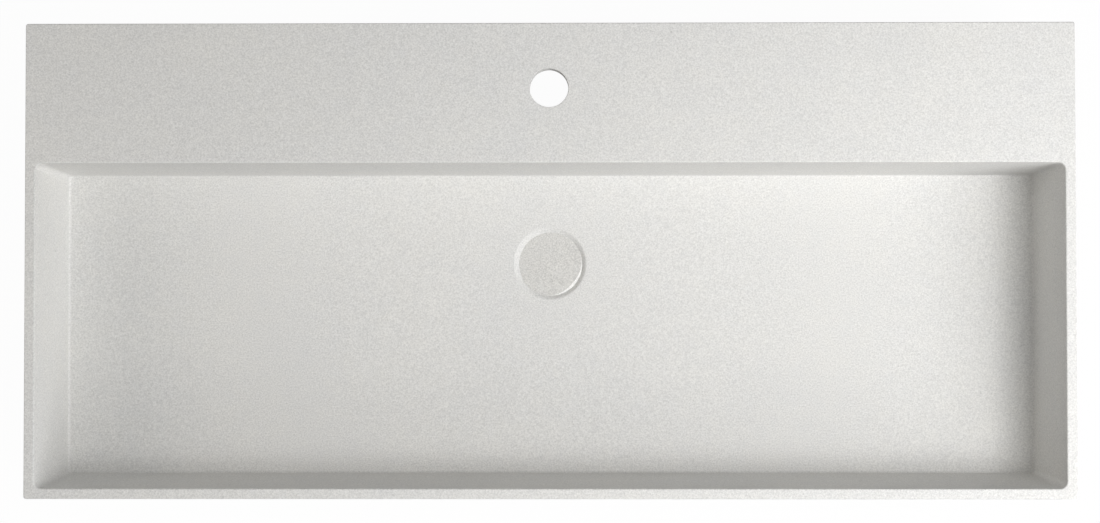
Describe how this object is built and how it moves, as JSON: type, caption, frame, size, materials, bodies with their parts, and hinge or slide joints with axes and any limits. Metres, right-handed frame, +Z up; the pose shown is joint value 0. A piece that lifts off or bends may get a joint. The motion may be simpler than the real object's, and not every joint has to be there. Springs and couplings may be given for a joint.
{
  "type": "concrete washbasin",
  "caption": "Rectangular wall-hung washbasin cast in thin-walled pale concrete, with a rear tap deck, one tap hole and a push-open waste under a round concrete cover.",
  "frame": {"origin": "on the back face that meets the wall, midway between the two wall-fixing holes", "axes": "+X to the right along the wall for a user facing it, +Y into the wall, +Z up"},
  "size_m": [1, 0.453, 0.181],
  "materials": {
    "concrete": "matte",
    "concrete_cover": "matte",
    "nylon": "satin",
    "acetal": "satin",
    "sealant": "matte",
    "rubber": "matte",
    "chrome": "polished",
    "brass": "satin",
    "steel": "satin"
  },
  "bodies": {
    "basin": {"basin_body": "concrete", "fixing_sleeve_left": "nylon", "fixing_sleeve_right": "nylon", "waste_body": "chrome", "flange_gasket": "rubber", "tail_gasket": "rubber", "slip_washer": "nylon", "back_nut": "brass", "cartridge_housing": "acetal", "cartridge_cap": "acetal", "spring_seat": "acetal", "return_spring": "steel"},
    "plug": {"cover_disc": "concrete_cover", "cover_bond": "sealant", "plug_carrier": "chrome", "plug_seal": "rubber", "plug_stem": "steel", "stem_lock_nut": "steel", "spring_washer": "steel"},
    "cam": {"index_cam": "acetal"}
  },
  "joints": [
    {"name": "plug_slide", "type": "slide", "parent": "basin", "child": "plug", "axis": [0, 0, 1], "range_m": [-0.002, 0.01], "deforming": ["return_spring"]},
    {"name": "cam_turn", "type": "hinge", "parent": "plug", "child": "cam", "pos_m": [0, -0.2277, -0.0759], "axis": [0, 0, 1], "range_deg": [-9.5, 45.5]}
  ],
  "couplings": [
    {"joint": "cam_turn", "follows": "plug_slide", "rad_per_m": 78.54}
  ]
}
